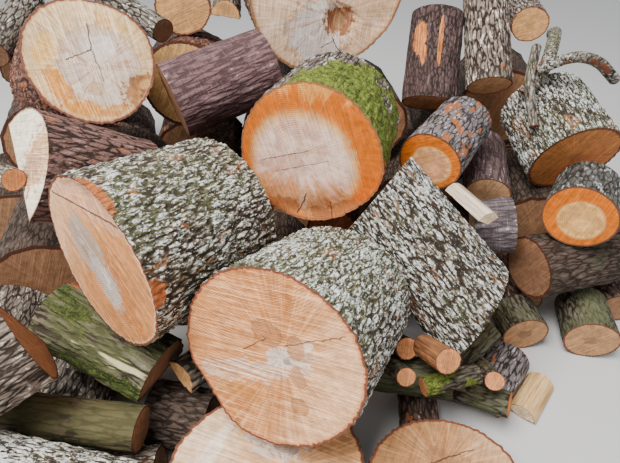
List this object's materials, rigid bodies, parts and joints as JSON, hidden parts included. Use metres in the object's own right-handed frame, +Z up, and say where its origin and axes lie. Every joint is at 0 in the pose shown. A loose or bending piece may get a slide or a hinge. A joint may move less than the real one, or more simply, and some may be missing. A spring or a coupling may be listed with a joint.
{
  "type": "log heap",
  "caption": "Heap of stove-length logs tipped on level ground: lichened, mossy and split rounds with sawn end faces, branches between them",
  "frame": {"origin": "On the ground under the middle of the heap's bounding box", "axes": "+Z up, +X to the right seen from the side of the sawn ends, -Y towards that side"},
  "size_m": [2.523, 2.1989, 1.1654],
  "materials": {
    "bottom_round": "rough bark, sawn or split faces",
    "bottom_round_right": "rough bark, sawn or split faces",
    "brown_bark_log": "rough bark, sawn or split faces",
    "brown_round_top_right": "rough bark, sawn or split faces",
    "cream_chunk": "rough bark, sawn or split faces",
    "cut_branch_right": "rough bark, sawn or split faces",
    "dark_cherry_log": "rough bark, sawn or split faces",
    "dark_furrowed_log": "rough bark, sawn or split faces",
    "gnarled_bark_piece": "rough bark, sawn or split faces",
    "grey_branch": "rough bark, sawn or split faces",
    "grey_brown_log": "rough bark, sawn or split faces",
    "grey_corner_log": "rough bark, sawn or split faces",
    "grey_limb_arched": "rough bark, sawn or split faces",
    "grey_limb_long": "rough bark, sawn or split faces",
    "grey_limb_short": "rough bark, sawn or split faces",
    "grey_top_left_log": "rough bark, sawn or split faces",
    "ground_logs_back": "rough bark, sawn or split faces",
    "ground_logs_front": "rough bark, sawn or split faces",
    "ground_logs_left": "rough bark, sawn or split faces",
    "ground_logs_middle": "rough bark, sawn or split faces",
    "ground_logs_right": "rough bark, sawn or split faces",
    "half_log_left": "rough bark, sawn or split faces",
    "inner_logs": "rough bark, sawn or split faces",
    "knotted_log": "rough bark, sawn or split faces",
    "left_branch_stub": "rough bark, sawn or split faces",
    "lichen_log_far_right": "rough bark, sawn or split faces",
    "lichen_log_front": "rough bark, sawn or split faces",
    "lichen_log_left": "rough bark, sawn or split faces",
    "lichen_log_right": "rough bark, sawn or split faces",
    "mossy_round": "rough bark, sawn or split faces",
    "mossy_split_log": "rough bark, sawn or split faces",
    "mossy_thin_branch": "rough bark, sawn or split faces",
    "ochre_rotten_log": "rough bark, sawn or split faces",
    "olive_billet": "rough bark, sawn or split faces",
    "olive_log": "rough bark, sawn or split faces",
    "orange_round_top_right": "rough bark, sawn or split faces",
    "pale_bark_piece": "rough bark, sawn or split faces",
    "pale_round": "rough bark, sawn or split faces",
    "purple_brown_log": "rough bark, sawn or split faces",
    "rotten_round": "rough bark, sawn or split faces",
    "rough_bark_log": "rough bark, sawn or split faces",
    "small_branch_lower": "rough bark, sawn or split faces",
    "small_branch_upper": "rough bark, sawn or split faces",
    "small_orange_round": "rough bark, sawn or split faces",
    "splintered_billet": "rough bark, sawn or split faces",
    "split_cherry_log": "rough bark, sawn or split faces",
    "split_log_left": "rough bark, sawn or split faces",
    "striped_bark_log": "rough bark, sawn or split faces",
    "torn_branch": "rough bark, sawn or split faces",
    "torn_orange_log": "rough bark, sawn or split faces",
    "weathered_round": "rough bark, sawn or split faces",
    "white_lichen_corner_log": "rough bark, sawn or split faces",
    "white_striped_splinter": "rough bark, sawn or split faces",
    "yew_log": "rough bark, sawn or split faces",
    "yew_ring_round": "rough bark, sawn or split faces"
  },
  "bodies": {
    "root": {"bottom_round": "bottom_round", "bottom_round_right": "bottom_round_right", "brown_bark_log": "brown_bark_log", "brown_round_top_right": "brown_round_top_right", "cream_chunk": "cream_chunk", "cut_branch_right": "cut_branch_right", "dark_cherry_log": "dark_cherry_log", "dark_furrowed_log": "dark_furrowed_log", "gnarled_bark_piece": "gnarled_bark_piece", "grey_branch": "grey_branch", "grey_brown_log": "grey_brown_log", "grey_corner_log": "grey_corner_log", "grey_limb_arched": "grey_limb_arched", "grey_limb_long": "grey_limb_long", "grey_limb_short": "grey_limb_short", "grey_top_left_log": "grey_top_left_log", "ground_logs_back": "ground_logs_back", "ground_logs_front": "ground_logs_front", "ground_logs_left": "ground_logs_left", "ground_logs_middle": "ground_logs_middle", "ground_logs_right": "ground_logs_right", "half_log_left": "half_log_left", "inner_logs": "inner_logs", "knotted_log": "knotted_log", "left_branch_stub": "left_branch_stub", "lichen_log_far_right": "lichen_log_far_right", "lichen_log_front": "lichen_log_front", "lichen_log_left": "lichen_log_left", "lichen_log_right": "lichen_log_right", "mossy_round": "mossy_round", "mossy_split_log": "mossy_split_log", "mossy_thin_branch": "mossy_thin_branch", "ochre_rotten_log": "ochre_rotten_log", "olive_billet": "olive_billet", "olive_log": "olive_log", "orange_round_top_right": "orange_round_top_right", "pale_bark_piece": "pale_bark_piece", "pale_round": "pale_round", "purple_brown_log": "purple_brown_log", "rotten_round": "rotten_round", "rough_bark_log": "rough_bark_log", "small_branch_lower": "small_branch_lower", "small_branch_upper": "small_branch_upper", "small_orange_round": "small_orange_round", "splintered_billet": "splintered_billet", "split_cherry_log": "split_cherry_log", "split_log_left": "split_log_left", "striped_bark_log": "striped_bark_log", "torn_branch": "torn_branch", "torn_orange_log": "torn_orange_log", "weathered_round": "weathered_round", "white_lichen_corner_log": "white_lichen_corner_log", "white_striped_splinter": "white_striped_splinter", "yew_log": "yew_log", "yew_ring_round": "yew_ring_round"}
  },
  "joints": []
}
